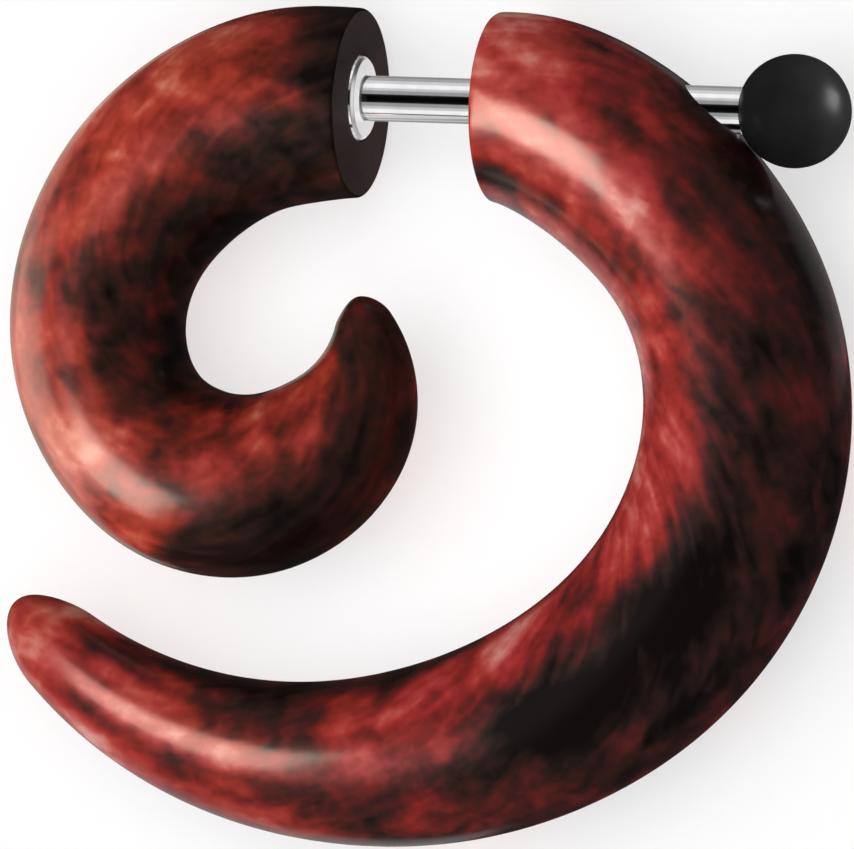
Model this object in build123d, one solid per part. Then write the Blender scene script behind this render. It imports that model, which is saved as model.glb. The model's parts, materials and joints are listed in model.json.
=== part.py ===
from build123d import *
from collections import namedtuple
from math import cos, radians, sin, sqrt
import os

# A faux plug earring, in millimetres. It lies on its side, as in its photograph: +X runs along the
# post from the front spiral to the ball, +Y is the top of the ear and +Z points up off the table.
# While the pieces are made, the front spiral's flat face is at x = 0 and the post's axis is y = z = 0.

# The two spirals
face_diameter = 5.0       # flat round faces that sit against the ear lobe
lobe_gap = 3.74           # between the two faces, with the back spiral out against the ball
front_length = 23.9       # along the front spiral's curved centre line, from face to tip
back_length = 37.9        # the same along the back spiral
front_tip_length = 0.6    # last stretch, where the thin end rounds over
back_tip_length = 1.8
post_rise = 0.13          # the post's axis sits this far above the middle of the faces

# The post: 16 gauge steel bar, with a flange that seats in the front face
post_diameter = 1.2
flange_diameter = 2.2
flange_sunk = 0.35        # depth of the flange below the front face
flange_proud = 0.12       # and height above it
flange_chamfer = 0.08
core_length = 3.0         # hidden stretch of bar inside the front spiral, behind the flange
thread_diameter = 1.0
thread_length = 1.8
thread_chamfer = 0.12

# The end ball
ball_diameter = 3.0
ball_seat_diameter = 1.5  # flat on the ball, where the bar's shoulder meets it

# Clearances
turn_clearance = 0.03     # round the flange and the core, in the front spiral
slide_clearance = 0.05    # round the bar, in the back spiral's bore
thread_clearance = 0.03   # round the threaded end, in the ball
end_clearance = 0.05      # between faces that meet end on
ball_clearance = 0.04     # between the ball and the back spiral's outer side

# Each spiral is a round tube. A row gives how far along the centre line it is, as a share of its
# length, which way the line heads there, in degrees from +X, and the tube's thickness, as a share
# of the face's diameter.
Row = namedtuple("Row", "along heading thickness")

FRONT_ROWS = [
    Row(0.00, 180, 1.000),
    Row(0.07, 188, 1.040),
    Row(0.15, 206, 1.030),
    Row(0.25, 226, 1.005),
    Row(0.35, 248, 0.955),
    Row(0.45, 275, 0.930),
    Row(0.55, 306, 0.930),
    Row(0.65, 341, 0.975),
    Row(0.75, 380, 0.940),
    Row(0.85, 416, 0.770),
    Row(1.00, 478, 0.200),
]

BACK_ROWS = [
    Row(0.00, 0, 1.000),
    Row(0.04, -19, 1.045),
    Row(0.10, -35, 1.075),
    Row(0.18, -53, 1.065),
    Row(0.28, -82, 1.090),
    Row(0.40, -114, 1.110),
    Row(0.52, -142, 1.080),
    Row(0.64, -164, 0.985),
    Row(0.76, -184, 0.820),
    Row(0.88, -206, 0.625),
    Row(1.00, -229, 0.400),
]

# How finely a spiral is made
WALK_STEPS = 200          # equal steps walked along the centre line to reach any place on it
BODY_SECTIONS = 16        # round sections from the face to the start of the tip
TIP_ANGLES = [25, 45, 62, 76, 85]   # sections round the tip, in degrees towards its end

Spiral = namedtuple("Spiral", "rows length tip_length face_x")
Station = namedtuple("Station", "x y heading radius")

FRONT = Spiral(FRONT_ROWS, front_length, front_tip_length, 0)
BACK = Spiral(BACK_ROWS, back_length, back_tip_length, lobe_gap)


def slope_at(rows, column, i):
    """Slope of a column at row i: the weighted mean of the slopes on its two sides."""
    def rise(j):
        return (rows[j + 1][column] - rows[j][column]) / (rows[j + 1].along - rows[j].along)
    if i == 0:
        return rise(0)
    if i == len(rows) - 1:
        return rise(i - 1)
    before = rows[i].along - rows[i - 1].along
    after = rows[i + 1].along - rows[i].along
    return (rise(i - 1) * after + rise(i) * before) / (before + after)


def read_rows(rows, name, along):
    """Smooth reading of one column between two rows: a cubic that keeps the slopes at both."""
    column = Row._fields.index(name)
    i = max(j for j in range(len(rows) - 1) if rows[j].along <= along)
    width = rows[i + 1].along - rows[i].along
    q = (along - rows[i].along) / width
    start, end = rows[i][column], rows[i + 1][column]
    slope_in = slope_at(rows, column, i) * width
    slope_out = slope_at(rows, column, i + 1) * width
    ease = q * q * (3 - 2 * q)
    return start + (end - start) * ease + q * (1 - q) * ((1 - q) * slope_in - q * slope_out)


def tube_radius(spiral, along):
    """The tube's radius. Over the tip it falls to nothing, as a quarter of an ellipse does."""
    radius = face_diameter / 2 * read_rows(spiral.rows, "thickness", along)
    into_tip = 1 - (1 - along) * spiral.length / spiral.tip_length
    return radius * sqrt(1 - max(0.0, into_tip)**2)


def station_at(spiral, along):
    """Walk the centre line from the face, and give the tube's place, heading and radius there."""
    step = along / WALK_STEPS
    headings = [radians(read_rows(spiral.rows, "heading", (i + 0.5) * step)) for i in range(WALK_STEPS)]
    x = spiral.face_x + spiral.length * step * sum(cos(heading) for heading in headings)
    y = -post_rise + spiral.length * step * sum(sin(heading) for heading in headings)
    return Station(x, y, read_rows(spiral.rows, "heading", along), tube_radius(spiral, along))


def spiral_tube(spiral):
    """Loft round sections set square to the centre line, closer together round the tip."""
    tip_start = 1 - spiral.tip_length / spiral.length
    shares = [tip_start * i / BODY_SECTIONS for i in range(BODY_SECTIONS + 1)]
    shares += [tip_start + (1 - tip_start) * sin(radians(angle)) for angle in TIP_ANGLES]
    sections = []
    for share in shares:
        station = station_at(spiral, share)
        ahead = (cos(radians(station.heading)), sin(radians(station.heading)), 0)
        square = Plane(origin=(station.x, station.y, 0), x_dir=(0, 0, 1), z_dir=ahead)
        sections.append(square * Circle(station.radius))
    return loft(sections)


def rod(start_x, end_x, diameter):
    """A round bar along the post's axis."""
    return extrude(Plane.YZ.offset(start_x) * Circle(diameter / 2), end_x - start_x)


def ball_place():
    """How far out the ball sits: it slides in along the post until it meets the back spiral."""
    reach = ball_diameter / 2 + ball_clearance
    upper_half = [station_at(BACK, i / 200) for i in range(100)]
    beside_post = [s for s in upper_half if abs(s.y) < s.radius + reach]
    return max(s.x + sqrt((s.radius + reach)**2 - s.y**2) for s in beside_post)


# Places along the post that follow from the sizes above
ball_x = ball_place()
seat_x = ball_x - sqrt((ball_diameter / 2)**2 - (ball_seat_diameter / 2)**2)
shoulder_x = seat_x - end_clearance
thread_end_x = shoulder_x + thread_length


def make_front_spiral():
    """The coiled front, with a round recess for the flange and a blind bore for the core."""
    tube = spiral_tube(FRONT)
    recess = rod(-flange_sunk - end_clearance, face_diameter, flange_diameter + 2 * turn_clearance)
    bore = rod(-flange_sunk - core_length - end_clearance, 0, post_diameter + 2 * turn_clearance)
    return tube - recess - bore


def make_post():
    """Core, flange, bar and threaded end, turned from one piece of steel."""
    bar = rod(-flange_sunk - core_length, shoulder_x, post_diameter)
    flange = rod(-flange_sunk, flange_proud, flange_diameter)
    rim = flange.edges().filter_by(GeomType.CIRCLE).sort_by(Axis.X)[-1]
    flange = chamfer(rim, flange_chamfer)
    thread = rod(shoulder_x, thread_end_x, thread_diameter)
    point = thread.edges().filter_by(GeomType.CIRCLE).sort_by(Axis.X)[-1]
    thread = chamfer(point, thread_chamfer)
    return bar + flange + thread


def make_back_spiral():
    """The crescent behind the ear, bored through so that it slides and turns on the bar."""
    tube = spiral_tube(BACK)
    return tube - rod(0, ball_x, post_diameter + 2 * slide_clearance)


def make_ball():
    """A round ball with a flat seat and a blind hole for the threaded end."""
    ball = Pos(ball_x, 0, 0) * Sphere(ball_diameter / 2)
    outside_seat = rod(seat_x - ball_diameter, seat_x, 2 * ball_diameter)
    hole = rod(seat_x - ball_diameter, thread_end_x + end_clearance,
               thread_diameter + 2 * thread_clearance)
    return ball - outside_seat - hole


pieces = {
    "front_spiral": make_front_spiral(),
    "post": make_post(),
    "back_spiral": make_back_spiral(),
    "ball": make_ball(),
}
solids = {name: piece.solid() for name, piece in pieces.items()}

# The origin is on the table, under the middle of the whole earring
whole = Compound(list(solids.values())).bounding_box()
to_origin = Pos(-whole.center().X, -whole.center().Y, -whole.min.Z)

os.makedirs("parts", exist_ok=True)
for name, solid in solids.items():
    export_step(to_origin * solid, f"parts/{name}.step")

print("whole size", whole.size)
print("front face and post axis at", to_origin.position)
print("shoulder and ball centre beyond the front face", shoulder_x, ball_x)
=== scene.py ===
# %% [markdown]
# # A faux plug earring in marbled acrylic
# The earring lies on its side on a pale table. A tapered coil sits before the ear lobe and a larger
# crescent behind it. A thin steel bar joins them through the lobe and ends in a small black ball.
# The CAD model is the fixed frame: it gives the sizes, the places and what moves. Each cell below
# explains a step or takes it. Lengths on the earring are in millimetres, and those of the lamps, the
# table and the camera in metres.

# %% Load the frame
import json
from collections import namedtuple

import bpy
import numpy as np
from mathutils import Matrix, Vector


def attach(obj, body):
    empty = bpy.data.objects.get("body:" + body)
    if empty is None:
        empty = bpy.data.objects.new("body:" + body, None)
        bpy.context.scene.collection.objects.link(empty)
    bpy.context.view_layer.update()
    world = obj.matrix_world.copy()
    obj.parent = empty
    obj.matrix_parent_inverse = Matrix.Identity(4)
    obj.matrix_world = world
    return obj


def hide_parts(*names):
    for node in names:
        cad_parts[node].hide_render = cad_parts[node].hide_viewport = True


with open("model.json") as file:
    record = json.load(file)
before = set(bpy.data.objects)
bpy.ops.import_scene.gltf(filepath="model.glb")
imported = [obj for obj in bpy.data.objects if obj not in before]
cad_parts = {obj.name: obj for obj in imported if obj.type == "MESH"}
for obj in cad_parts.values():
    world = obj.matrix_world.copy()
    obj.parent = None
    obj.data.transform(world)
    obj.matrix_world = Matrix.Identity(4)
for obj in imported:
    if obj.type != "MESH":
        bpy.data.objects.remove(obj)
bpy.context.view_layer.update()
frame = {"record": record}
MM = 0.001

# %% [markdown]
# ## Where things are
# The pieces are easiest to write down with the front's flat face at x = 0 and the bar's axis on
# y = z = 0. The record says where the middle of the free bar is in the frame, so the shift from one
# place to the other is read from there and not typed again.

# %% The shift from working place to frame
LOBE_GAP = 3.74
mounts = {mount["name"]: mount for mount in frame["record"]["mounts"]}
bar_middle = np.array(mounts["lobe_post"]["pos_m"]) / MM
SHIFT = bar_middle - np.array([LOBE_GAP / 2, 0, 0])
print("front face and bar axis at", SHIFT.round(3), "mm")

# %% [markdown]
# ## A grid of points becomes a mesh
# Almost everything on a piece of jewellery is turned, drawn or bent, so its skin is a sheet of points
# with one direction along the piece and one around it. Modelling by hand would push vertices one by
# one. Here numpy works out the whole sheet at once, and one helper sews it into a closed mesh: squares
# between neighbours, and a fan of triangles where the sheet shrinks to a single point at either end.

# %% Sew a grid into a mesh
def sew(rows, columns):
    """Corners of the squares of a grid that closes on itself around. Square (i, j) runs from row i to
    row i + 1 and from column j to column j + 1, where the last column meets the first."""
    i, j = np.meshgrid(np.arange(rows - 1), np.arange(columns), indexing="ij")
    after = (j + 1) % columns
    square = np.stack([i * columns + j, (i + 1) * columns + j,
                       (i + 1) * columns + after, i * columns + after], -1)
    return square.reshape(-1, 4)


def into_scene(name, data):
    """An object for a mesh, a lamp or a camera, linked into the scene."""
    made = bpy.data.objects.new(name, data)
    bpy.context.scene.collection.objects.link(made)
    return made


def closed_skin(name, grid, start, end):
    """A mesh from a grid of points, shape (rows, columns, 3), closed by the single points start and
    end. Point (i, j) of the grid is vertex i * columns + j, then come start and end."""
    rows, columns = grid.shape[:2]
    points = np.concatenate([grid.reshape(-1, 3), [start, end]]) + SHIFT
    squares = sew(rows, columns)
    j = np.arange(columns)
    after = (j + 1) % columns
    start_fan = np.stack([np.full(columns, rows * columns), j, after], -1)
    last = (rows - 1) * columns
    end_fan = np.stack([last + j, np.full(columns, rows * columns + 1), last + after], -1)
    mesh = bpy.data.meshes.new(name)
    mesh.from_pydata((points * MM).tolist(), [], squares.tolist() + start_fan.tolist() + end_fan.tolist())
    mesh.shade_smooth()
    piece = into_scene(name, mesh)
    print(name, "has", len(mesh.vertices), "points and", len(mesh.polygons), "faces")
    return piece


def places(items, field="co"):
    """The places of a mesh's vertices, or the centres of its faces, in working millimetres."""
    points = np.empty(len(items) * 3)
    items.foreach_get(field, points)
    return points.reshape(-1, 3) / MM - SHIFT

# %% [markdown]
# ## The two spirals
# Both acrylic pieces are one round rod, tapered and bent hot round a former. The rod is straight where
# it meets the ear, curls, and thins to a rounded tip. So each is a centre line and a thickness along it.
# The centre line is easiest to steer by its heading, the way a car is: a short table says which way it
# heads at each share of its length, a smooth curve is passed through the table, and walking along it
# gives the places. A Bezier curve with a taper would also do, but its thickness and its length are
# harder to hold to the CAD model, which reads the same rows.

# %% Rows of the two spirals
FACE_DIAMETER = 5.0
POST_RISE = 0.13
WALK_STEPS = 4000
HEADING, THICKNESS = 1, 2
Spiral = namedtuple("Spiral", "rows length tip_length face_x")

# Share of the length, heading in degrees from +X, thickness as a share of the face's diameter
FRONT = Spiral(np.array([
    (0.00, 180, 1.000), (0.07, 188, 1.040), (0.15, 206, 1.030), (0.25, 226, 1.005),
    (0.35, 248, 0.955), (0.45, 275, 0.930), (0.55, 306, 0.930), (0.65, 341, 0.975),
    (0.75, 380, 0.940), (0.85, 416, 0.770), (1.00, 478, 0.200)]), 23.9, 0.6, 0.0)
BACK = Spiral(np.array([
    (0.00, 0, 1.000), (0.04, -19, 1.045), (0.10, -35, 1.075), (0.18, -53, 1.065),
    (0.28, -82, 1.090), (0.40, -114, 1.110), (0.52, -142, 1.080), (0.64, -164, 0.985),
    (0.76, -184, 0.820), (0.88, -206, 0.625), (1.00, -229, 0.400)]), 37.9, 1.8, LOBE_GAP)


def read(spiral, column, along):
    """A cubic between each two rows that keeps the slope at both. The slope at a row is the mean of
    the slopes on its two sides, each weighted by the width of the other side."""
    knots, values = spiral.rows[:, 0], spiral.rows[:, column]
    slopes = np.gradient(values, knots)
    i = np.clip(np.searchsorted(knots, along, side="right") - 1, 0, len(knots) - 2)
    width = knots[i + 1] - knots[i]
    q = (along - knots[i]) / width
    ease = q * q * (3 - 2 * q)
    bend = q * (1 - q) * ((1 - q) * slopes[i] - q * slopes[i + 1]) * width
    return values[i] + (values[i + 1] - values[i]) * ease + bend


def centre_line(spiral, along):
    """Place, heading and radius at each share of the length. The place is the sum of short steps, each
    taken along the heading at its middle. Over the tip the radius falls as a quarter of an ellipse."""
    heading = np.radians(read(spiral, HEADING, (np.arange(WALK_STEPS) + 0.5) / WALK_STEPS))
    walked = np.linspace(0, 1, WALK_STEPS + 1)
    step = spiral.length / WALK_STEPS
    x = spiral.face_x + step * np.concatenate([[0], np.cumsum(np.cos(heading))])
    y = -POST_RISE + step * np.concatenate([[0], np.cumsum(np.sin(heading))])
    into_tip = np.clip(1 - (1 - along) * spiral.length / spiral.tip_length, 0, 1)
    radius = FACE_DIAMETER / 2 * read(spiral, THICKNESS, along) * np.sqrt(1 - into_tip**2)
    x, y = np.interp(along, walked, x), np.interp(along, walked, y)
    return x, y, np.radians(read(spiral, HEADING, along)), radius


for name, spiral in (("front", FRONT), ("back", BACK)):
    x, y, heading, radius = centre_line(spiral, np.array([0, 0.5, 1.0]))
    print(name, "runs from", (x[0].round(2), y[0].round(2)), "to", (x[2].round(2), y[2].round(2)),
          "and is", (2 * radius[1]).round(2), "thick half way")

# %% [markdown]
# A real edge is never perfectly sharp. The flat face that sits against the ear is sawn and sanded, and
# polishing rolls its rim over by less than a tenth of a millimetre, enough to catch a thin line of
# light. A Bevel modifier could round it, but would have to be told which edges are meant. Here the rim
# is part of the sheet: a few extra rows follow a quarter circle from the face to the side.

# %% Rows round the rim, along the rod and over the tip
RIM_RADIUS = 0.09
AROUND = 160
RIM_SECTIONS, FRONT_SECTIONS, BACK_SECTIONS, TIP_SECTIONS = 7, 380, 440, 28


def rod_sections(spiral, rows):
    """Shares of the length for every section from the rim's end to just before the tip, and how much
    each falls short of the full radius. On the rim, depth = r (1 - cos a) and shortfall = r (1 - sin a)
    for a from 0 to 90 degrees. Over the tip the share follows the sine of an angle, so the sections
    draw closer as the end turns under."""
    turn = np.radians(np.linspace(0, 90, RIM_SECTIONS))
    rim = RIM_RADIUS * (1 - np.cos(turn)) / spiral.length
    shortfall = RIM_RADIUS * (1 - np.sin(turn))
    tip_start = 1 - spiral.tip_length / spiral.length
    body = np.linspace(rim[-1], tip_start, rows)[1:]
    under = np.radians(np.linspace(0, 90, TIP_SECTIONS))[1:-1]
    tip = tip_start + (1 - tip_start) * np.sin(under)
    along = np.concatenate([rim, body, tip])
    return along, np.concatenate([shortfall, np.zeros(len(body) + len(tip))])


def rod_skin(spiral, along, shortfall, around):
    """Round sections square to the centre line. With angle a counted from straight up towards the left
    of the heading: point = centre + radius (sin a * left + cos a * up)."""
    x, y, heading, radius = centre_line(spiral, along)
    radius = (radius - shortfall)[:, None]
    left = np.stack([-np.sin(heading), np.cos(heading)], -1)[:, None, :]
    flat = np.stack([x, y], -1)[:, None, :] + (radius * np.sin(around))[..., None] * left
    return np.concatenate([flat, (radius * np.cos(around))[..., None]], -1)


def circle(count):
    """Angles spread evenly over a full turn."""
    return np.linspace(0, 2 * np.pi, count, endpoint=False)


around = circle(AROUND)
print(AROUND, "points round each section, that is one every", 360 / AROUND, "degrees")

# %% [markdown]
# ## The front coil
# Its flat face has a shallow round seat for the steel flange, and behind it a blind hole that takes
# the hidden end of the bar. Cutting them with a Boolean would leave long thin faces on the rim. The
# sheet can simply start inside instead: from the bottom of the hole, out along its wall, over the
# seat's floor and wall, across the flat face and on down the rod. The hole is on the bar's axis and the
# rod is not quite, so the rings across the face slide from one centre to the other.

# %% Make the front coil
HOLE_RADIUS, HOLE_DEPTH = 0.63, 3.40
SEAT_RADIUS, SEAT_DEPTH = 1.13, 0.40
LIP, LIP_BULGE = 0.03, 0.008
FACE_EDGE = FACE_DIAMETER / 2 - RIM_RADIUS
FACE_SHARES = np.linspace(0, 1, 12)[1:-1]


def ring(x, y, radius, around, left):
    """One circle that faces along the bar: point = (x, y + left r sin a, r cos a)."""
    zero = np.zeros_like(around)
    return np.stack([x + zero, y + left * radius * np.sin(around), radius * np.cos(around)], -1)


def rod(name, spiral, sections, face_rings, start):
    """A closed rod: the rings of its face come first, then its sections, and its very end closes it."""
    along, shortfall = rod_sections(spiral, sections)
    print(name, "is a rod of", len(along), "sections behind", len(face_rings), "rings")
    grid = np.concatenate([face_rings, rod_skin(spiral, along, shortfall, around)])
    x, y, _, _ = centre_line(spiral, np.array([1.0]))
    return closed_skin(name, grid, start, (x[0], y[0], 0))


def front_rings():
    """Rings of the hole, the seat and the flat face, from the bottom of the hole outwards."""
    wall = [(-HOLE_DEPTH + HOLE_DEPTH * q, HOLE_RADIUS) for q in np.linspace(0, 1, 7)]
    inner = [(x, 0.0, r) for x, r in wall if x < -SEAT_DEPTH] + [(-SEAT_DEPTH, 0.0, HOLE_RADIUS)]
    floor = [(-SEAT_DEPTH, 0.0, r) for r in np.linspace(HOLE_RADIUS, SEAT_RADIUS, 5)[1:]]
    side = [(x, 0.0, SEAT_RADIUS) for x in np.linspace(-SEAT_DEPTH, -LIP, 4)[1:]]
    lip = [(-LIP_BULGE, 0.0, SEAT_RADIUS + LIP_BULGE), (0.0, 0.0, SEAT_RADIUS + LIP)]
    face = [(0.0, -POST_RISE * q, SEAT_RADIUS + LIP + (FACE_EDGE - SEAT_RADIUS - LIP) * q)
            for q in FACE_SHARES]
    return inner + floor + side + lip + face


rings = np.stack([ring(x, y, r, around, -1) for x, y, r in front_rings()])
coil = rod("front_coil", FRONT, FRONT_SECTIONS, rings, (-HOLE_DEPTH, 0, 0))

# %% [markdown]
# ## The back crescent
# The bar runs straight on through the crescent while the crescent already curves away, so the hole
# leaves through its outer side in a long oval. No grid of sections has a line there. This is the place
# for a Boolean: a cutter of the bore's size goes through the finished rod, and the modifier is applied
# so that the mesh itself has the hole.

# %% Make the back crescent and bore it
BORE_RADIUS, BORE_START, BORE_END = 0.65, 0.0, 11.9
CUTTER_SIDES, CUTTER_ROWS = 96, 40


def bore(piece, radius, start_x, end_x):
    """Cut a round hole along the bar's axis: the cutter is a closed tube."""
    sides = circle(CUTTER_SIDES)
    tube = np.stack([ring(x, 0, radius, sides, 1) for x in np.linspace(start_x, end_x, CUTTER_ROWS)])
    cutter = closed_skin("cutter", tube, (start_x, 0, 0), (end_x, 0, 0))
    cut = piece.modifiers.new("bore", "BOOLEAN")
    cut.operation, cut.solver, cut.object = "DIFFERENCE", "EXACT", cutter
    bored = bpy.data.meshes.new_from_object(piece.evaluated_get(bpy.context.evaluated_depsgraph_get()))
    piece.modifiers.remove(cut)
    plain = piece.data
    piece.data = bored
    bored.name = piece.name
    bpy.data.meshes.remove(plain)
    bpy.data.meshes.remove(cutter.data)


# The plain flat face is a set of rings, from near its middle to the start of the rim
rings = np.stack([ring(LOBE_GAP, -POST_RISE, FACE_EDGE * q, around, 1) for q in FACE_SHARES])
crescent = rod("back_crescent", BACK, BACK_SECTIONS, rings, (LOBE_GAP, -POST_RISE, 0))
bore(crescent, BORE_RADIUS, BORE_START, BORE_END)
print("bored crescent has", len(crescent.data.polygons), "faces")

# %% [markdown]
# ## The bar, its flange and its thread
# All three are turned from one piece of steel, and what is turned is drawn by its profile: a list of
# distances along the axis with a radius at each, carried round the axis. The hidden end is not left
# plain. When the ball is unscrewed, a real thread shows: its radius falls and rises once for each turn,
# so it depends on the distance along and on the angle together. A Screw modifier could turn the plain
# stretches, but one sheet for all of it needs no joining.

# %% Make the bar
POST_RADIUS, FLANGE_RADIUS, THREAD_RADIUS = 0.6, 1.1, 0.5
FLANGE_SUNK, FLANGE_PROUD, FLANGE_CHAMFER = 0.35, 0.12, 0.08
CORE_LENGTH, THREAD_LENGTH, THREAD_CHAMFER = 3.0, 1.8, 0.12
BALL_X, BALL_RADIUS, BALL_SEAT_RADIUS, END_CLEARANCE = 11.9326, 1.5, 0.75, 0.05
SEAT_X = BALL_X - np.sqrt(BALL_RADIUS**2 - BALL_SEAT_RADIUS**2)
SHOULDER_X = SEAT_X - END_CLEARANCE
PITCH, THREAD_DEEP, CREST, NECK = 0.25, 0.085, 1.3, 0.08
TURNED_SIDES, EDGE_STEPS, EASE, END_EASE, SHORT_SIDE = 128, 5, 0.025, 0.03, 2.2


def off_corner(corner, other, radius):
    """The point that lies off a corner towards another one, by the radius, or by nearly half of the
    side between them where that is too short."""
    side = np.linalg.norm(other - corner)
    return corner + (other - corner) / side * min(radius, side / SHORT_SIDE)


def soften(corners, radius):
    """A profile with every corner cut back and rounded: each corner becomes a curve
    (1 - q)^2 before + 2 q (1 - q) corner + q^2 after, with before and after a short way off it."""
    corners = np.array(corners, float)
    q = np.linspace(0, 1, EDGE_STEPS)[:, None]
    made = [corners[:1]]
    for before, corner, after in zip(corners[:-2], corners[1:-1], corners[2:]):
        before, after = off_corner(corner, before, radius), off_corner(corner, after, radius)
        made.append((1 - q)**2 * before + 2 * q * (1 - q) * corner + q**2 * after)
    return np.concatenate(made + [corners[-1:]])


def turned(profile, around):
    """Carry a profile of (x, radius) round the bar's axis."""
    return np.stack([ring(x, 0, r, around, 1) for x, r in profile])


def thread_rows(start_x, end_x, radius, deep, around, per_pitch):
    """Rows of a thread: radius - deep * dip, where dip = 0.5 - 0.5 cos(x / pitch - a / 360), in turns,
    pressed towards a flat crest. It fades in and out over half a pitch at both ends."""
    x = np.linspace(start_x, end_x, int((end_x - start_x) / PITCH * per_pitch))[:, None]
    turns = x / PITCH - around / (2 * np.pi)
    dip = (0.5 - 0.5 * np.cos(2 * np.pi * turns))**CREST
    fade = np.clip(np.minimum(x - start_x, end_x - x) / (PITCH / 2), 0, 1)
    r = radius - deep * dip * fade
    return np.stack([x + 0 * r, r * np.sin(around), r * np.cos(around)], -1)


sides = circle(TURNED_SIDES)
core_end = -FLANGE_SUNK - CORE_LENGTH
thread_end = SHOULDER_X + THREAD_LENGTH
chamfer_start = thread_end - THREAD_CHAMFER
bar_profile = soften([
    (core_end, 0.05), (core_end, POST_RADIUS), (-FLANGE_SUNK, POST_RADIUS),
    (-FLANGE_SUNK, FLANGE_RADIUS), (FLANGE_PROUD - FLANGE_CHAMFER, FLANGE_RADIUS),
    (FLANGE_PROUD, FLANGE_RADIUS - FLANGE_CHAMFER), (FLANGE_PROUD, POST_RADIUS),
    (SHOULDER_X, POST_RADIUS), (SHOULDER_X, THREAD_RADIUS),
    (SHOULDER_X + NECK, THREAD_RADIUS)], EASE)
thread = thread_rows(SHOULDER_X + 0.1, chamfer_start, THREAD_RADIUS, THREAD_DEEP, sides, per_pitch=14)
end_profile = soften([(chamfer_start + 0.002, THREAD_RADIUS - 0.002),
                      (thread_end, THREAD_RADIUS - THREAD_CHAMFER), (thread_end, 0.04)], END_EASE)
bar_grid = np.concatenate([turned(bar_profile, sides), thread, turned(end_profile, sides)])
bar = closed_skin("steel_bar", bar_grid, (core_end, 0, 0), (thread_end, 0, 0))

# %% [markdown]
# ## The ball
# A three millimetre ball with a small flat where the bar's shoulder meets it and a blind tapped hole.
# A UV sphere with a hole cut in it would do from afar, but its flat's edge would be sharp and its hole
# bare. So it is turned as well: up the wall of the hole from its bottom, over the flat and round the
# outside.
# The tapped wall is cut outwards, so the bar's thread still has its clearance.

# %% Make the ball
TAPPED_RADIUS, TAPPED_DEEP, BALL_ROWS = 0.53, 0.06, 150


def ball_profile():
    """The outside of the ball by angle: x = middle - R cos a, radius = R sin a, from the edge of the
    flat round to the far pole. The flat's edge is eased like any moulded edge."""
    seat_angle = np.arcsin(BALL_SEAT_RADIUS / BALL_RADIUS)
    a = np.linspace(seat_angle + 0.02, np.pi - 0.012, BALL_ROWS)
    outside = np.stack([BALL_X - BALL_RADIUS * np.cos(a), BALL_RADIUS * np.sin(a)], -1)
    lip = soften([(SEAT_X + 0.05, TAPPED_RADIUS), (SEAT_X, TAPPED_RADIUS + 0.03),
                  (SEAT_X, BALL_SEAT_RADIUS), tuple(outside[0])], END_EASE)
    return np.concatenate([lip[:-1], outside])


hole_end = thread_end + END_CLEARANCE
tapped = thread_rows(SEAT_X + NECK, hole_end - 0.02, TAPPED_RADIUS, -TAPPED_DEEP, sides, per_pitch=12)[::-1]
hole_floor = turned([(hole_end, 0.05), (hole_end, 0.3), (hole_end, TAPPED_RADIUS - 0.02),
                     (hole_end - 0.01, TAPPED_RADIUS)], sides)
ball_grid = np.concatenate([hole_floor, tapped, turned(ball_profile(), sides)])
ball = closed_skin("end_ball", ball_grid, (hole_end, 0, 0), (BALL_X + BALL_RADIUS, 0, 0))

# %% [markdown]
# ## Which way is out
# A light ray must know the inside from the outside. The volume that a closed mesh encloses is positive
# only when its faces point outwards, so measuring it is a quick test, and a piece that comes out
# negative is turned round. Edges sharper than 35 degrees are kept crisp and the rest is smooth.

# %% Check the skins and mark their sharp edges
SHARP = np.radians(35)


def volume(piece):
    """Sum over the triangles of a . (b x c) / 6, in cubic millimetres."""
    piece.data.calc_loop_triangles()
    corners = np.empty(len(piece.data.loop_triangles) * 3, dtype=np.int32)
    piece.data.loop_triangles.foreach_get("vertices", corners)
    a, b, c = places(piece.data.vertices)[corners.reshape(-1, 3)].transpose(1, 0, 2)
    return np.einsum("ij,ij->i", a, np.cross(b, c)).sum() / 6


for piece in (coil, crescent, bar, ball):
    if volume(piece) < 0:
        piece.data.flip_normals()
        print(piece.name, "was inside out")
    piece.data.set_sharp_from_angle(angle=SHARP)
    print(piece.name, "encloses", volume(piece).round(2), "cubic mm")

# %% [markdown]
# ## Where the marbling is red
# The rod is cast from dark and red acrylic that were stirred only a little, so red clouds lie in a
# nearly black ground, drawn out along the rod. Noise alone would scatter the clouds anywhere. On this
# piece they have places: the outside of the coil is red, the crescent has a red band along its inner
# side and a black back. So the broad clouds are laid one by one, like dabs of a wide brush, each with a
# place along the rod, an angle around it, a size and a level of red. Fine noise will fray their edges
# later, in the material. The dabs need every point's own place along and around the rod.
# A few dabs are painted light and not marbling: pale dabs lay painted highlights under the short streaks low
# on the coil, at the start of the crescent and on its tail, one is painted light on the tail's outer side,
# and one along the crescent's inner edge is partly red, partly a painted rim reflection.

# %% Straighten the rods
LINE_PLACES = 900


def straighten(spiral, points):
    """Share of the length, angle from straight up towards the left of the heading, and distance from
    the centre line, for each point. The nearest of many places on the line is found first, then the
    point's own step along the heading from there is added."""
    shares = np.linspace(0, 1, LINE_PLACES)
    x, y, heading, _ = centre_line(spiral, shares)
    line = np.stack([x, y], -1)
    apart = (points[:, :2]**2).sum(-1)[:, None] + (line**2).sum(-1) - 2 * points[:, :2] @ line.T
    i = apart.argmin(1)
    off = points[:, :2] - line[i]
    ahead = np.stack([np.cos(heading[i]), np.sin(heading[i])], -1)
    left = np.stack([-ahead[:, 1], ahead[:, 0]], -1)
    share = np.clip(shares[i] + (off * ahead).sum(-1) / spiral.length, 0, 1)
    sideways = (off * left).sum(-1)
    return share, np.arctan2(sideways, points[:, 2]), np.hypot(sideways, points[:, 2])


coil_places = straighten(FRONT, places(coil.data.vertices))
crescent_places = straighten(BACK, places(crescent.data.vertices))
print("the coil's points lie up to", coil_places[2].max().round(3), "mm from its centre line")
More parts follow.
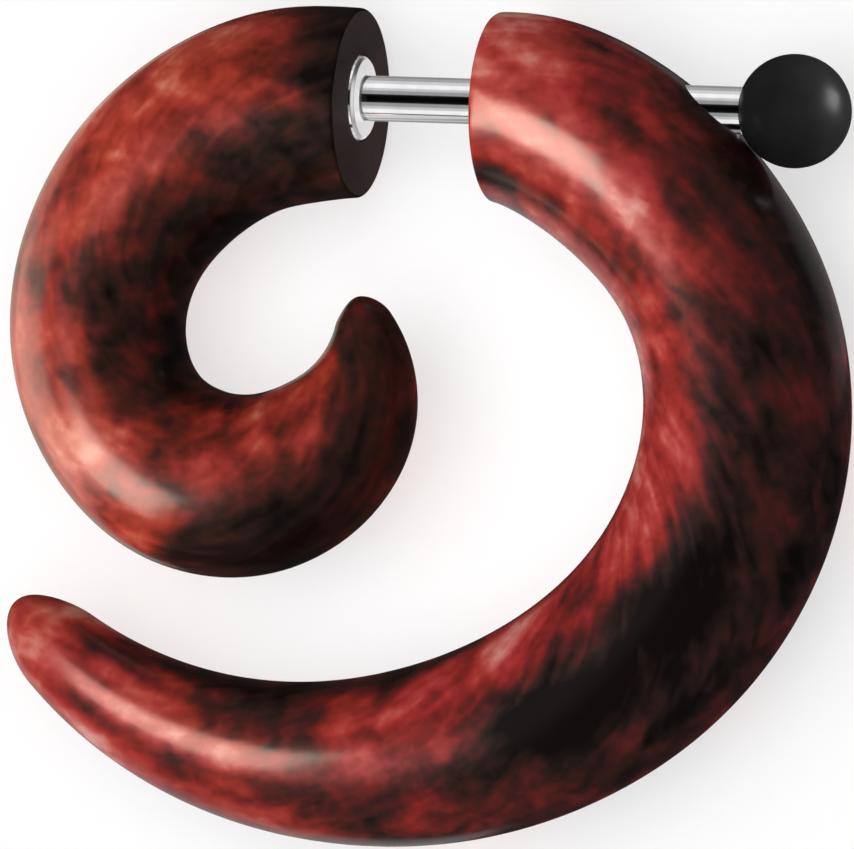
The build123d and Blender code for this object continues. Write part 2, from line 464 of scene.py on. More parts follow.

# %% The clouds, one by one
# Share along, degrees around, half length as a share, half width in degrees, level of red, which for the
# painted highlight and painted light dabs is their paleness
FRONT_CLOUDS_AND_PAINTED_HIGHLIGHTS = [
    (0.00, 0, 0.055, 400, 0.14), (0.055, 2, 0.024, 14, 0.50), (0.20, -30, 0.13, 42, 0.80),
    (0.20, -62, 0.14, 20, 0.78), (0.17, -12, 0.035, 12, 0.86), (0.30, -8, 0.06, 14, 0.62),
    (0.365, -2, 0.028, 12, 0.44), (0.46, -40, 0.13, 32, 0.76), (0.50, 3, 0.08, 10, 0.70),
    (0.43, 20, 0.08, 9, 0.30), (0.57, -34, 0.09, 26, 0.76), (0.60, 2, 0.05, 12, 0.72),
    (0.63, 20, 0.05, 12, 0.50), (0.70, 10, 0.045, 16, 0.68), (0.15, 56, 0.24, 34, 0.12),
    (0.46, 64, 0.26, 28, 0.25), (0.72, 42, 0.10, 15, 0.72), (0.85, 40, 0.06, 30, 1.00),
    (0.83, 6, 0.03, 16, 0.78), (0.78, 20, 0.03, 12, 0.66), (0.76, -42, 0.10, 32, 0.05),
    (0.65, -24, 0.03, 14, 0.66), (0.63, -52, 0.03, 16, 0.66), (0.71, -52, 0.045, 14, 0.06),
    (0.93, -25, 0.05, 50, 0.12), (0.97, 20, 0.05, 400, 0.34), (0.93, 62, 0.05, 20, 0.60),
    (0.925, 34, 0.03, 22, 0.60), (0.275, -18, 0.035, 18, 0.88), (0.125, -16, 0.03, 14, 0.78),
    # (0.60, -17) is a painted highlight: it lifts the red under the pale streak low on the coil
    (0.375, -18, 0.03, 12, 0.78), (0.27, 22, 0.06, 12, 0.20), (0.60, -17, 0.06, 10, 0.80),
    (0.40, 30, 0.05, 12, 0.30), (0.12, -4, 0.04, 14, 0.80), (0.34, -18, 0.03, 12, 0.80)]
BACK_CLOUDS_AND_PAINTED_HIGHLIGHTS = [
    (0.03, 24, 0.07, 26, 1.02), (0.012, 56, 0.06, 34, 1.20), (0.08, 18, 0.06, 14, 0.80),
    # (0.05, -8) is partly red and partly painted highlight under the pale patch where the crescent starts
    (0.05, -8, 0.10, 20, 0.90), (0.15, 2, 0.055, 12, 0.78), (0.05, -48, 0.085, 9, 0.12),
    (0.12, -62, 0.11, 14, 0.68), (0.18, 56, 0.17, 28, 0.44), (0.24, 24, 0.10, 20, 0.30),
    # (0.30, -62) is partly red and partly a painted rim reflection along the crescent's inner edge
    (0.22, -32, 0.15, 24, 0.66), (0.30, -62, 0.22, 14, 0.86), (0.40, -36, 0.10, 26, 0.80),
    (0.35, 26, 0.12, 28, 0.22), (0.50, 14, 0.13, 30, -0.12), (0.48, 62, 0.20, 26, 0.16),
    (0.50, -36, 0.022, 30, 0.50), (0.52, -12, 0.05, 10, 0.18), (0.565, -48, 0.05, 28, 0.96),
    (0.65, -20, 0.055, 22, 0.74), (0.63, 2, 0.025, 12, 0.60), (0.68, 4, 0.03, 12, 0.66),
    (0.64, 52, 0.08, 26, 0.42), (0.72, -30, 0.028, 22, 0.72), (0.79, -42, 0.06, 16, 0.14),
    # (0.83, 6) is a painted highlight: the pale streak along the top of the tail
    (0.86, -18, 0.05, 14, 0.74), (0.83, 6, 0.11, 13, 0.80), (0.77, 32, 0.045, 12, 0.22),
    # (0.86, 54) is partly red and partly painted light: it lightens the tail's outer side
    (0.86, 54, 0.115, 26, 0.88), (0.78, -64, 0.17, 12, 0.12), (0.97, 0, 0.05, 400, 0.84),
    # (0.05, -8) and (0.13, -8) are painted highlights: they pale the patch where the crescent starts
    (0.92, -48, 0.04, 14, 0.26), (0.05, -8, 0.06, 12, 0.92), (0.13, -8, 0.05, 12, 0.92),
    # (0.87, 0) is a painted highlight: the core of the pale streak on the tail
    (0.87, 0, 0.10, 8, 0.88), (0.90, -26, 0.03, 12, 0.88),
    (0.155, 30, 0.07, 18, 0.22), (0.16, 62, 0.06, 14, 0.56), (0.23, -30, 0.045, 10, 0.86),
    (0.05, -27, 0.075, 7, 0.86), (0.62, -42, 0.035, 16, 0.84), (0.79, 30, 0.05, 10, 0.42),
    (0.87, -44, 0.04, 12, 0.50), (0.10, 44, 0.03, 12, 0.44)]
print(len(FRONT_CLOUDS_AND_PAINTED_HIGHLIGHTS), "clouds for the coil and", len(BACK_CLOUDS_AND_PAINTED_HIGHLIGHTS), "for the crescent")

# %% Lay the clouds
# The underside's mean level and swing, the waves along it, the level of the ground on top, and how
# steeply and how far down the sides that ground gives way
UNDER_LEVEL, UNDER_SWING, UNDER_WAVES, GROUND = 0.42, 0.38, 4.3, 0.34
FADE, REACH = 1.35, 0.75


def lay(clouds, share, angle, phase):
    """Each cloud is laid over what is there: level += (its level - level) * cover, with
    cover = exp(-d^3) and d the distance from its middle in half sizes. Below the rod, where no cloud is
    listed, a slow wave along and around stands for the clouds."""
    wave = np.sin(2 * np.pi * UNDER_WAVES * share + phase) * np.cos(2 * angle + 9 * share + phase)
    level = UNDER_LEVEL + UNDER_SWING * wave
    level += (GROUND - level) * np.clip(FADE * np.cos(angle) + REACH, 0, 1)
    for middle, turned_to, long, wide, red in clouds:
        aside = np.abs((np.degrees(angle) - turned_to + 180) % 360 - 180)
        d = np.hypot((share - middle) / long, aside / wide)
        level += (red - level) * np.exp(-d**3)
    return level


def keep(piece, name, kind, values):
    """Write one value, or one vector, for every point of the piece."""
    attribute = piece.data.attributes.new(name, kind, "POINT")
    field = "value" if kind == "FLOAT" else "vector"
    attribute.data.foreach_set(field, np.ascontiguousarray(values, np.float32).ravel())


def look_up(table, share):
    """The value at each share, on straight lines between the rows (share, value) of a table."""
    return np.interp(share, *np.transpose(table))


# Share along, how far the red there is crimson and not rust
FRONT_CRIMSON = [(0.0, 0.25), (1.0, 0.25)]
BACK_CRIMSON = [(0.0, 0.6), (0.20, 0.85), (0.40, 1.0), (0.60, 0.80), (0.80, 0.60), (1.0, 0.55)]
for piece, clouds, crimson, (share, angle, _), phase in (
        (coil, FRONT_CLOUDS_AND_PAINTED_HIGHLIGHTS, FRONT_CRIMSON, coil_places, 0.7),
        (crescent, BACK_CLOUDS_AND_PAINTED_HIGHLIGHTS, BACK_CRIMSON, crescent_places, 2.1)):
    # The level is red, and painted highlight or painted light where those dabs lie
    level = lay(clouds, share, angle, phase)
    keep(piece, "red_and_painted_highlight_level", "FLOAT", level)
    keep(piece, "crimson", "FLOAT", look_up(crimson, share))
    print(piece.name, "level of red from", level.min().round(2), "to", level.max().round(2))

# %% [markdown]
# The clouds and the fine dashes in them follow the rod, so every point also keeps straightened
# coordinates in millimetres: along, sideways and up. For the clouds the way along is sheared a little.
# The dashes lean across the rod, most of all half way down the crescent. They get coordinates of their
# own, whose sideways part drifts off as the rod goes on, so that a line of equal value leans with them.
# A UV map has only two numbers for each corner, and an attribute holds all three.

# %% Keep straightened, leaning coordinates
# Share along, millimetres of shear for each millimetre sideways
FRONT_SHEAR = [(0.0, 0.4), (0.12, 0.9), (0.28, 0.6), (0.45, 0.2), (0.70, -0.2), (1.0, 0.0)]
BACK_SHEAR = [(0.0, 1.3), (0.12, 0.8), (0.25, -0.5), (0.38, -0.8), (0.60, -0.2), (0.80, 0.0), (1.0, 0.3)]
# Share along, millimetres of drift to the left for each millimetre ahead
FRONT_DRIFT = [(0.0, 0.35), (1.0, 0.35)]
BACK_DRIFT = [(0.0, 0.35), (0.16, 0.15), (0.28, 0.45), (0.40, 0.80), (0.55, 0.50), (0.70, 0.30), (1.0, 0.35)]
DRIFT_STEPS = 500


def drifted(spiral, drift, share):
    """How far the dashes have drifted at each share: the sum of drift * step up to there."""
    steps = np.linspace(0, 1, DRIFT_STEPS)
    return np.interp(share, steps, np.cumsum(look_up(drift, steps)) * spiral.length / DRIFT_STEPS)


for piece, spiral, shear, drift, (share, angle, off) in (
        (coil, FRONT, FRONT_SHEAR, FRONT_DRIFT, coil_places),
        (crescent, BACK, BACK_SHEAR, BACK_DRIFT, crescent_places)):
    along, sideways, upward = share * spiral.length, off * np.sin(angle), off * np.cos(angle)
    sheared = along + look_up(shear, share) * sideways
    keep(piece, "straight", "FLOAT_VECTOR", np.stack([sheared, sideways, upward], -1))
    leaning = sideways - drifted(spiral, drift, share)
    keep(piece, "leaning", "FLOAT_VECTOR", np.stack([along, leaning, upward], -1))
    print("the dashes of", piece.name, "drift", drifted(spiral, drift, 1.0).round(1), "mm in all")

# %% [markdown]
# ## A short way to write materials
# A material is a small network of nodes. It could be drawn by hand in the editor, but written down it
# can be read, repeated and changed. A few helpers keep it short: one adds a node and sets or links its
# inputs by name, one does a sum, and one turns numbers into colours.

# %% Helpers for nodes
def start_material(name):
    """An empty material with its shader and output already joined."""
    made = bpy.data.materials.new(name)
    made.use_nodes = True
    made.node_tree.nodes.clear()
    shader = made.node_tree.nodes.new("ShaderNodeBsdfPrincipled")
    output = made.node_tree.nodes.new("ShaderNodeOutputMaterial")
    made.node_tree.links.new(shader.outputs[0], output.inputs[0])
    return made, made.node_tree, shader


def put(tree, socket, value):
    """Link a socket to another one, or set its value."""
    if isinstance(value, bpy.types.NodeSocket):
        tree.links.new(value, socket)
    else:
        socket.default_value = value


def add(tree, kind, settings=None, **inputs):
    """A node with its settings and its inputs, which are named with _ for a space."""
    node = tree.nodes.new("ShaderNode" + kind)
    for key, value in (settings or {}).items():
        setattr(node, key, value)
    for key, value in inputs.items():
        put(tree, node.inputs[key.replace("_", " ")], value)
    return node


def sums(tree, operation, first, second):
    """The result of one sum on two numbers or sockets."""
    node = tree.nodes.new("ShaderNodeMath")
    node.operation = operation
    put(tree, node.inputs[0], first)
    put(tree, node.inputs[1], second)
    return node.outputs[0]


def ramp(tree, fac, stops):
    """Colours at positions from 0 to 1, blended smoothly."""
    node = add(tree, "ValToRGB", Fac=fac)
    bar_of_colour = node.color_ramp
    bar_of_colour.interpolation = "B_SPLINE" if len(stops) > 3 else "EASE"
    while len(bar_of_colour.elements) < len(stops):
        bar_of_colour.elements.new(0.5)
    for element, (position, colour) in zip(bar_of_colour.elements, stops):
        element.position = position
        element.color = (*colour, 1)
    return node.outputs["Color"]


def grey(level):
    """A colour without any hue."""
    return (level, level, level)

# %% [markdown]
# Every finish here is made from noises. An image of a real surface would do too, but a noise can be
# tuned and never repeats. Lengths in a pattern are millimetres, so a Mapping node first enlarges the
# object's coordinates a thousand times. A noise mostly stays between 0.3 and 0.7, and that usual range
# is spread over what it steers, a colour or a roughness. A bump takes it as it is.

# %% Helpers for patterns
USUAL_LOW, USUAL_HIGH = 0.3, 0.7


def in_mm(tree, stretch=(1, 1, 1)):
    """Object coordinates in millimetres, stretched as asked."""
    place = add(tree, "TexCoord")
    return add(tree, "Mapping", Vector=place.outputs["Object"], Scale=[1000 * s for s in stretch]).outputs[0]


def noise(tree, scale, where=None, **more):
    """The value of a noise, about 0.5 on average, at a place or else at the object's coordinates."""
    where = in_mm(tree) if where is None else where
    return add(tree, "TexNoise", Vector=where, Scale=scale, **more).outputs["Fac"]


def swing(tree, pattern, strength):
    """A pattern between 0 and 1 becomes a change between minus and plus half its strength."""
    return sums(tree, "MULTIPLY", sums(tree, "SUBTRACT", pattern, 0.5), strength)


def own(tree, name, output="Fac"):
    """One of the piece's own attributes, as a number or as a vector."""
    return add(tree, "Attribute", {"attribute_name": name}).outputs[output]


def between(tree, pattern, low, high):
    """The usual range of a pattern becomes the range from low to high, which are numbers or colours."""
    if isinstance(low, tuple):
        return ramp(tree, pattern, [(USUAL_LOW, low), (USUAL_HIGH, high)])
    return add(tree, "MapRange", Value=pattern, From_Min=USUAL_LOW, From_Max=USUAL_HIGH,
               To_Min=low, To_Max=high).outputs[0]


def skin(tree, shader, colour, roughness, height, strength, depth):
    """The three things that every finish of the earring gives its shader: a colour, a roughness, and a
    pattern that tilts the surface as if it were depth metres deep."""
    put(tree, shader.inputs["Base Color"], colour)
    put(tree, shader.inputs["Roughness"], roughness)
    bump = add(tree, "Bump", Strength=strength, Distance=depth, Height=height)
    put(tree, shader.inputs["Normal"], bump.outputs[0])


def fix(shader, **values):
    """Inputs of the shader that are the same all over, named with _ for a space."""
    for key, value in values.items():
        shader.inputs[key.replace("_", " ")].default_value = value

# %% [markdown]
# ## Marbled acrylic
# Up close the clouds are frayed: their edges break into lumps one or two millimetres across, then into
# short leaning dashes and a fine grain. Three noises do that. The lumps read the sheared coordinates and
# the dashes the leaning ones, so that both follow the rod wherever it bends, and the grain reads plain
# object coordinates. Their sum with the level of red picks the colour: black brown, maroon, red, and a
# paler salmon where the red lies thickest. Lumps and grain are weaker in dark places, where there is
# little red to stir, but the dashes go on through them. There are two such scales of colour, a rust one
# and a crimson one, and a slow fourth noise draws each place towards one of them. The acrylic is
# polished, but not to a mirror, so its pale streaks have soft ends, and the faintest unevenness keeps
# them from looking machine made.
# The palest salmon is also where the painted highlight dabs lie, so there it is painted highlight and not
# thick red.

# %% The marbled acrylic
RUST = [
    (0.00, (0.004, 0.0028, 0.0025)), (0.10, (0.017, 0.0085, 0.0066)), (0.20, (0.034, 0.012, 0.0088)),
    (0.34, (0.095, 0.016, 0.0095)), (0.50, (0.26, 0.026, 0.014)), (0.66, (0.40, 0.046, 0.025)),
    (0.80, (0.52, 0.11, 0.064)), (1.00, (0.72, 0.35, 0.25))]
CRIMSON = [
    (0.00, (0.004, 0.0028, 0.0027)), (0.10, (0.0175, 0.0092, 0.008)), (0.20, (0.037, 0.0145, 0.0125)),
    (0.34, (0.105, 0.016, 0.014)), (0.50, (0.28, 0.021, 0.019)), (0.66, (0.42, 0.036, 0.033)),
    (0.80, (0.54, 0.10, 0.085)), (1.00, (0.72, 0.33, 0.29))]
FULL_RED, ACRYLIC_IOR = 1.25, 1.49


def marbled_acrylic():
    """Colour by level + (lumps + grain) * calm + dashes, read on a rust and a crimson scale."""
    made, tree, shader = start_material("marbled acrylic")
    # This level is red, and also painted highlight and painted light where those dabs lie
    level = own(tree, "red_and_painted_highlight_level")
    drawn_out = add(tree, "Mapping", Vector=own(tree, "straight", "Vector"), Scale=(0.62, 0.56, 0.56))
    dashed = add(tree, "Mapping", {"vector_type": "TEXTURE"}, Vector=own(tree, "leaning", "Vector"),
                 Scale=(1.5, 0.45, 0.70))
    lumps = noise(tree, 1.0, drawn_out.outputs[0], Detail=2.0, Roughness=0.4, Distortion=0.35)
    dashes = noise(tree, 1.0, dashed.outputs[0], Detail=1.0, Roughness=0.5, Distortion=0.4)
    grain = noise(tree, 2.4, Detail=2.0, Roughness=0.5, Distortion=0.3)
    lean = noise(tree, 0.35, Detail=2.0)
    fray = sums(tree, "ADD", swing(tree, lumps, 1.15), swing(tree, grain, 0.40))
    calm = add(tree, "MapRange", Value=level, From_Min=0.0, From_Max=0.45, To_Min=0.40, To_Max=1.0)
    red = sums(tree, "ADD", level, sums(tree, "MULTIPLY", fray, calm.outputs[0]))
    red = sums(tree, "ADD", red, swing(tree, dashes, 0.50))
    red = sums(tree, "DIVIDE", red, FULL_RED)
    mix = add(tree, "Mix", {"data_type": "RGBA", "clamp_factor": True})
    coolness = sums(tree, "ADD", own(tree, "crimson"), swing(tree, lean, 1.6))
    put(tree, mix.inputs["Factor"], coolness)
    put(tree, mix.inputs[6], ramp(tree, red, RUST))
    put(tree, mix.inputs[7], ramp(tree, red, CRIMSON))
    uneven = noise(tree, 1.3, Detail=2.0)
    skin(tree, shader, mix.outputs[2], between(tree, grain, 0.20, 0.27), uneven, strength=0.25, depth=0.00001)
    fix(shader, IOR=ACRYLIC_IOR, Specular_IOR_Level=0.50)
    return made

# %% [markdown]
# ## Sanded acrylic
# The flat faces and the drilled holes were cut after casting. They show the dark ground of the
# acrylic, dulled by fine sanding, with only a hint of the clouds. A plain dark colour would look like
# paint, so one noise is squeezed fourteenfold across the way of the sanding and makes its scratches.

# %% The sanded faces
SANDED = [(0.30, (0.07, 0.044, 0.044)), (0.55, (0.088, 0.054, 0.053)), (0.80, (0.115, 0.062, 0.058))]


def sanded_acrylic():
    """The dark ground: its tone is a cloud plus a little of the scratches, which also dull it."""
    made, tree, shader = start_material("sanded acrylic")
    scratches = noise(tree, 1.4, in_mm(tree, (1, 14, 1.5)), Detail=4.0, Roughness=0.65)
    cloud = noise(tree, 0.7, Detail=3.0)
    tone = sums(tree, "ADD", cloud, swing(tree, scratches, 0.25))
    dull = between(tree, scratches, 0.45, 0.62)
    skin(tree, shader, ramp(tree, tone, SANDED), dull, scratches, strength=0.3, depth=0.000006)
    fix(shader, IOR=ACRYLIC_IOR, Specular_IOR_Level=0.25)
    return made

# %% [markdown]
# ## Polished steel
# The bar is polished on a lathe, which leaves rings too fine to see one by one. They show only as a
# slight spread of the reflections round the bar. The noise is squeezed along the axis a hundredfold
# and hardly changes around it. The thread gets the same steel.

# %% The steel
def polished_steel():
    """Pale metal, whose roughness and bump follow the lathe's rings."""
    made, tree, shader = start_material("polished steel")
    rings = noise(tree, 1.0, in_mm(tree, (60, 0.6, 0.6)), Detail=3.0, Roughness=0.6)
    haze = noise(tree, 1.8, Detail=3.0)
    colour = between(tree, haze, (0.52, 0.52, 0.53), (0.58, 0.58, 0.59))
    skin(tree, shader, colour, between(tree, rings, 0.07, 0.13), rings, strength=0.12, depth=0.000002)
    fix(shader, Metallic=1.0)
    return made

# %% [markdown]
# The flange's face was turned with a flat tool and left satin. Its rings run round the bar's axis, so
# they are a function of the distance from it alone.

# %% The faced flange
def faced_steel():
    """Rings by the distance from the axis, sqrt(y^2 + z^2)."""
    made, tree, shader = start_material("faced steel")
    place = add(tree, "SeparateXYZ", Vector=in_mm(tree)).outputs
    y, z = (sums(tree, "SUBTRACT", place[axis], float(SHIFT[k])) for axis, k in (("Y", 1), ("Z", 2)))
    squares = sums(tree, "ADD", sums(tree, "MULTIPLY", y, y), sums(tree, "MULTIPLY", z, z))
    away = sums(tree, "SQRT", squares, 0.0)
    turned_rings = add(tree, "TexNoise", {"noise_dimensions": "1D"}, W=sums(tree, "MULTIPLY", away, 30.0),
                       Scale=1.0, Detail=3.0)
    rings = turned_rings.outputs["Fac"]
    colour = between(tree, rings, grey(0.60), grey(0.66))
    skin(tree, shader, colour, between(tree, rings, 0.34, 0.44), rings, strength=0.25, depth=0.000002)
    fix(shader, Metallic=1.0)
    return made

# %% [markdown]
# ## Satin black
# The ball is moulded black acrylic with a satin skin. Its one highlight is wide and grey, and a very
# fine orange peel breaks it up.

# %% The black ball's plastic
def satin_black():
    """Near black, with a cloudy roughness and a fine orange peel for its bump."""
    made, tree, shader = start_material("satin black")
    peel = noise(tree, 9.0, Detail=3.0)
    cloud = noise(tree, 1.1, Detail=2.0)
    colour = between(tree, cloud, (0.0215, 0.0215, 0.0225), (0.0275, 0.0275, 0.0285))
    skin(tree, shader, colour, between(tree, cloud, 0.30, 0.38), peel, strength=0.2, depth=0.000006)
    fix(shader, IOR=ACRYLIC_IOR, Specular_IOR_Level=0.20)
    return made

# %% [markdown]
# Each spiral has two finishes. Which face of the mesh gets which follows from where it is: a face in
# the flat's plane, or one nearer to the bar's axis than the holes are wide, was cut and not polished.

# %% Dress the pieces
FACE_ALLOWANCE, EDGE_ALLOWANCE = 0.004, 0.01


def dress(piece, finishes, second):
    """Give the piece its finishes: the second one on the faces that are marked, else the first."""
    piece.data.materials.clear()
    for finish in finishes:
        piece.data.materials.append(finish)
    piece.data.polygons.foreach_set("material_index", second.astype(np.int32))


acrylic, sanded = marbled_acrylic(), sanded_acrylic()
for piece, face_x, hole, from_x, to_x in (
        (coil, 0.0, SEAT_RADIUS, -HOLE_DEPTH - EDGE_ALLOWANCE, EDGE_ALLOWANCE),
        (crescent, LOBE_GAP, BORE_RADIUS, LOBE_GAP, SEAT_X)):
    x, y, z = places(piece.data.polygons, "center").T
    on_flat = (np.abs(x - face_x) < FACE_ALLOWANCE) & (np.hypot(y + POST_RISE, z) < FACE_DIAMETER / 2)
    in_hole = (np.hypot(y, z) < hole + FACE_ALLOWANCE) & (x > from_x) & (x < to_x)
    dress(piece, [acrylic, sanded], on_flat | in_hole)
    print(piece.name, "has", int(on_flat.sum()), "flat and", int(in_hole.sum()), "hole faces")
face_on = places(bar.data.polygons, "center")[:, 0]
on_flange = np.abs(face_on - FLANGE_PROUD) < FLANGE_CHAMFER + EDGE_ALLOWANCE
dress(bar, [polished_steel(), faced_steel()], on_flange)
dress(ball, [satin_black()], np.zeros(len(ball.data.polygons)))
print("the flange has", int(on_flange.sum()), "faced faces")

# %% [markdown]
# ## Tie the pieces to the frame
# Each piece takes the place of one CAD solid and rides on that solid's body.

# %% Ride and replace
for piece, body, node, record_slot in (
        (coil, "front", "front_spiral", "marbled_acrylic"),
        (crescent, "back", "back_spiral", "marbled_acrylic"),
        (bar, "post", "post", "polished_steel"),
        (ball, "ball", "ball", "black_ball")):
    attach(piece, body)
    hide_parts(node)
    print(piece.name, "stands for", node)

# %% [markdown]
# ## The table
# The photograph has a pure white ground. A wide, matt, nearly white sheet gives that without hiding
# the soft shadow that says the earring really lies on something. A trace of paper grain keeps it from
# being a mathematical plane.

# %% The pale floor
FLOOR_HALF, FLOOR_Z = 0.6, -0.00001


def pale_paper():
    """Nearly white, with a trace of grain."""
    made, tree, shader = start_material("pale paper")
    grain = noise(tree, 2.0, Detail=4.0)
    put(tree, shader.inputs["Base Color"], between(tree, grain, grey(0.895), grey(0.90)))
    fix(shader, Roughness=0.9, Specular_IOR_Level=0.1)
    return made


floor_mesh = bpy.data.meshes.new("floor")
corners = [(FLOOR_HALF * x, FLOOR_HALF * y, FLOOR_Z) for x, y in ((-1, -1), (1, -1), (1, 1), (-1, 1))]
floor_mesh.from_pydata(corners, [], [(0, 1, 2, 3)])
floor_mesh.materials.append(pale_paper())
floor = into_scene("floor", floor_mesh)
print("the floor is", 2 * FLOOR_HALF, "m wide")

# %% [markdown]
# ## Light
# Gloss shows the room, so the lamps are placed by what they have to draw. For a highlight at a place
# with outward direction n, seen from direction v, the lamp belongs at 2 (n . v) n - v. Colour and gloss
# get lamps of their own. The main soft box and the ceiling light the colour and leave no mirror image,
# and a wide faint box lays a soft sheen over both spirals. Boxes low on the left draw the broad pale
# band along the coil's outer side, and boxes below the table's edge draw the thin pale rims. Each of
# them lights one piece alone, as if the pieces had been photographed one by one, because that is how
# the photograph looks, and its light on the coil is a little warm. A box at the lower right gives the
# ball its highlight, and two give the flange its face and its rim. The table has a lamp of its own, so
# that it can be nearly white while the room that the dark acrylic mirrors stays dim.

# %% Soft boxes
VIEW_TILT = np.radians(17.8)
TO_CAMERA = np.array([np.sin(VIEW_TILT), 0, np.cos(VIEW_TILT)])
MIDDLE = (0.0, 0.0, 0.0028)
WIDEST = 180
WHITE, WARM = (1, 1, 1), (1.0, 0.92, 0.76)


def linked(name, pieces):
    """A collection of pieces for a lamp's light linking."""
    group = bpy.data.collections.new(name)
    for piece in pieces:
        group.objects.link(piece)
    return group


def soft_box(name, toward, width, height, brightness, lights=None, shaded_by=None, distance=0.30,
             at=MIDDLE, along=(1, 0, 0), matt=True, gloss=True, spread=WIDEST, bounces=8, tint=WHITE):
    """A rectangular lamp in a direction from a point, facing it, with its width along a given way. Its
    power is brightness * pi * area, so brightness is what a mirror would show of it. It may light some
    pieces alone, be shaded by some alone, and serve matt colour or gloss alone. A grid in front of it
    narrows its spread. The grid would raise the brightness straight ahead, and that is taken off. With
    bounces at 0 it lights what the camera sees and leaves the mirror images alone."""
    lamp = bpy.data.lights.new(name, "AREA")
    lamp.shape, lamp.size, lamp.size_y = "RECTANGLE", width, height
    lamp.energy = brightness * np.pi * width * height
    if spread < WIDEST:
        half = np.radians(spread / 2)
        lamp.spread = 2 * half
        lamp.energy *= (np.tan(half) - half) / np.tan(half)
    lamp.cycles.max_bounces, lamp.color = bounces, tint
    box = into_scene(name, lamp)
    out = Vector(toward).normalized()
    up = out.cross(Vector(along)).normalized()
    turned_to = Matrix((up.cross(out), up, out)).transposed()
    box.matrix_world = Matrix.Translation(Vector(at) + out * distance) @ turned_to.to_4x4()
    box.visible_camera, box.visible_diffuse, box.visible_glossy = False, matt, gloss
    if lights:
        box.light_linking.receiver_collection = linked(name + " lights", lights)
    if shaded_by:
        box.light_linking.blocker_collection = linked(name + " is shaded by", shaded_by)


curved = [coil, crescent]
soft_box("main soft box", (-0.50, -0.28, 0.82), 0.12, 0.12, 12.0, curved, gloss=False)
soft_box("wide soft box", (-0.56, -0.29, 0.76), 0.30, 0.30, 0.13, curved, bounces=0)
for name, toward, width, height, brightness, piece, shade, tint in (
        ("left soft box", (-0.96, -0.18, 0.03), 0.26, 0.34, 1.30, coil, [coil], WARM),
        ("left core box", (-0.94, -0.22, 0.12), 0.17, 0.20, 1.7, coil, [coil], WARM),
        ("left rim box", (-0.80, -0.06, -0.60), 0.28, 0.30, 0.7, coil, [coil], WARM),
        ("right rim box", (0.36, 0.34, -0.86), 0.16, 0.30, 0.20, crescent, [crescent, ball], WHITE),
        ("inner rim box", (-0.62, -0.42, -0.66), 0.26, 0.30, 0.45, crescent, [crescent], WHITE)):
    soft_box(name, toward, width, height, brightness, [piece], shade, along=(0, 1, 0), bounces=0, tint=tint)
soft_box("ceiling fill", (-0.10, 0.0, 1.0), 0.40, 0.40, 1.1, gloss=False)
soft_box("table lamp", (0.0, 0.0, 1.0), 0.10, 0.10, 2.3, [floor], [floor], distance=0.08)
soft_box("ball soft box", (0.914, 0.340, -0.221), 0.16, 0.14, 11.0, [ball], [ball])
soft_box("flange face box", (0.306, 0.0, -0.952), 0.30, 0.30, 1.25, [bar], [ball])
soft_box("flange rim box", (0.951, 0.0, 0.305), 0.30, 0.40, 1.3, [bar], [ball])

# %% [markdown]
# The photograph's three pale streaks are short: one low on the coil, one where the crescent begins and
# one on its tail. A far lamp would draw each streak on all the way round, so these come from small boxes
# held close, 8 mm off. Each is placed by the rule above, for a share along the rod and an angle around
# it, and lies along the rod. A fourth box, twice as far off, lights the colour at the start of the
# crescent, where the red is brightest, and fades out along it.

# %% Small boxes close to the rods
NEAR = 8 * MM


def mirror_place(spiral, share, degrees):
    """A point on the rod in metres, the lamp's direction 2 (n . v) n - v for the skin's direction n
    there, and the rod's heading."""
    x, y, heading, radius = (column[0] for column in centre_line(spiral, np.array([share])))
    angle = np.radians(degrees)
    ahead = np.array([np.cos(heading), np.sin(heading), 0])
    out = np.array([-np.sin(angle) * ahead[1], np.sin(angle) * ahead[0], np.cos(angle)])
    point = (np.array([x, y, 0]) + radius * out + SHIFT) * MM
    return point, 2 * (out @ TO_CAMERA) * out - TO_CAMERA, ahead


for name, piece, spiral, share, degrees, long, wide, brightness in (
        ("coil streak box", coil, FRONT, 0.600, -17, 6.6, 6.8, 9.5),
        ("crescent patch box", crescent, BACK, 0.036, -5, 5.0, 5.6, 15.5),
        ("tail streak box", crescent, BACK, 0.880, 1, 7.8, 5.0, 9.0)):
    point, toward, ahead = mirror_place(spiral, share, degrees)
    soft_box(name, toward, long * MM, wide * MM, brightness, [piece], [piece], NEAR, point, ahead,
             matt=False, spread=90, bounces=0, tint=WARM)
    print(name, "shines from", toward.round(2))
start_of_crescent = mirror_place(BACK, 0.02, 40)[0]
soft_box("start fill box", (-0.50, 0.55, 0.67), 12 * MM, 12 * MM, 1.6, [crescent], [crescent], 2 * NEAR,
         start_of_crescent, gloss=False)

# %% [markdown]
# A round bar shows a strip of the room for each place across it, and twice the tilt of its skin there
# is the angle of that strip from straight up. Read across the photograph's bar, the room must be black
# overhead, grey beside that, white at half height and grey again below. Each row is one pair of long
# soft boxes, one above and one below the bar in the picture. Below the bar the coil's curl would stand
# in front of two of them, so those hang close under the bar instead.

# %% The light along the bar
# Where a strip starts and ends, in degrees from straight up, and its brightness
BAR_LIGHT = [(21, 40, 0.52), (40, 54, 0.95), (54, 78, 1.55), (78, 100, 1.05), (100, 125, 0.62),
             (125, 178, 0.40)]
# Where the strips start that the curl would hide
BEHIND_CURL = (78, 100)
# Distance and length of a box close under the bar, and of any other
UNDER_BAR, FAR_OFF = (3.4 * MM, 8 * MM), (0.30, 0.30)
bar_centre = bar_middle * MM
for low, high, brightness in BAR_LIGHT:
    angle, opening = np.radians((low + high) / 2), np.radians(high - low)
    for side in (1, -1):
        distance, length = UNDER_BAR if side < 0 and low in BEHIND_CURL else FAR_OFF
        height = 2 * distance * np.tan(opening / 2)
        toward = (-TO_CAMERA[0], side * TO_CAMERA[2] * np.sin(angle), TO_CAMERA[2] * np.cos(angle))
        soft_box("long box", toward, length, height, brightness, [bar], [bar], distance, bar_centre)

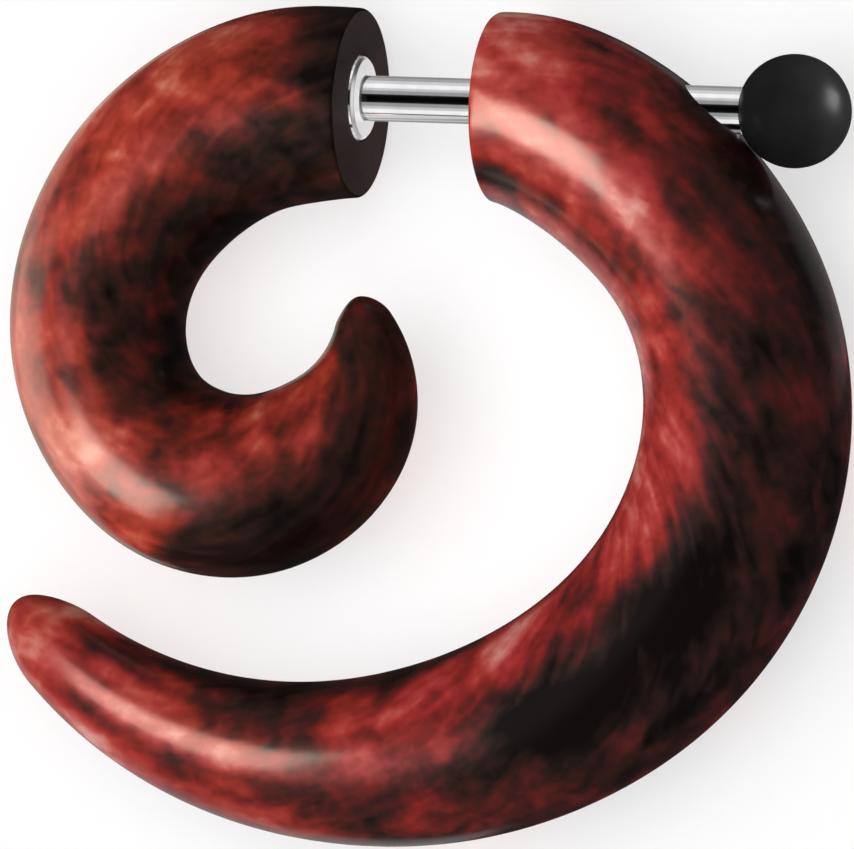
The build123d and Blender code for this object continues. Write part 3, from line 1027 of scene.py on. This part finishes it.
# %% [markdown]
# The room itself is only a soft gradient: black overhead, dim grey on the way down to the walls and
# darker again below. So the polished tops keep their colour, and the sides turn dark towards their
# edges, as they do in the photograph. The white table is kept out of the reflections for the same reason.

# %% The room
# Height in the room, from 0 straight down to 1 straight up, and how light it is there
ROOM_GREYS = [(0.42, 0.02), (0.56, 0.05), (0.70, 0.07), (0.97, 0.002)]
room = bpy.data.worlds.new("room")
room.use_nodes = True
tree = room.node_tree
direction = add(tree, "TexCoord").outputs["Generated"]
height = add(tree, "SeparateXYZ", Vector=direction).outputs["Z"]
share_up = sums(tree, "MULTIPLY", sums(tree, "ADD", height, 1.0), 0.5)
put(tree, tree.nodes["Background"].inputs["Color"],
    ramp(tree, share_up, [(share, grey(level)) for share, level in ROOM_GREYS]))
bpy.context.scene.world = room
floor.visible_glossy = False
print("the room has", len(bpy.data.lights), "lamps")

# %% [markdown]
# ## Camera
# The flat face of the coil shows as a narrow oval, 58 by 190 pixels, so the photographer looked 18
# degrees past square. In pixels of the photograph the earring measures 38 to the millimetre. A long
# lens from 60 centimetres keeps the view as flat as the photograph's.

# %% The camera
PHOTO_WIDE, PX_PER_MM, VIEW_ROLL = 854, 38.0, np.radians(2.0)
right = np.array([np.cos(VIEW_TILT), 0, -np.sin(VIEW_TILT)])
up = np.array([0.0, 1.0, 0.0])
image_right = np.cos(VIEW_ROLL) * right + np.sin(VIEW_ROLL) * up
image_up = -np.sin(VIEW_ROLL) * right + np.cos(VIEW_ROLL) * up
AIM = np.array([0.008, 0.114, 2.774]) * MM
FAR, SENSOR = 0.6, 36.0

lens = bpy.data.cameras.new("photo camera")
lens.sensor_width = SENSOR
lens.lens = SENSOR * FAR / (PHOTO_WIDE / PX_PER_MM * MM)
lens.clip_start, lens.clip_end = 0.01, 10.0
camera = into_scene("photo camera", lens)
turn = np.eye(4)
turn[:3] = np.stack([image_right, image_up, TO_CAMERA, AIM + TO_CAMERA * FAR], -1)
camera.matrix_world = Matrix(turn.tolist())
bpy.context.scene.camera = camera
bpy.context.scene.view_settings.view_transform = "Standard"
print("lens", round(lens.lens, 1), "mm")
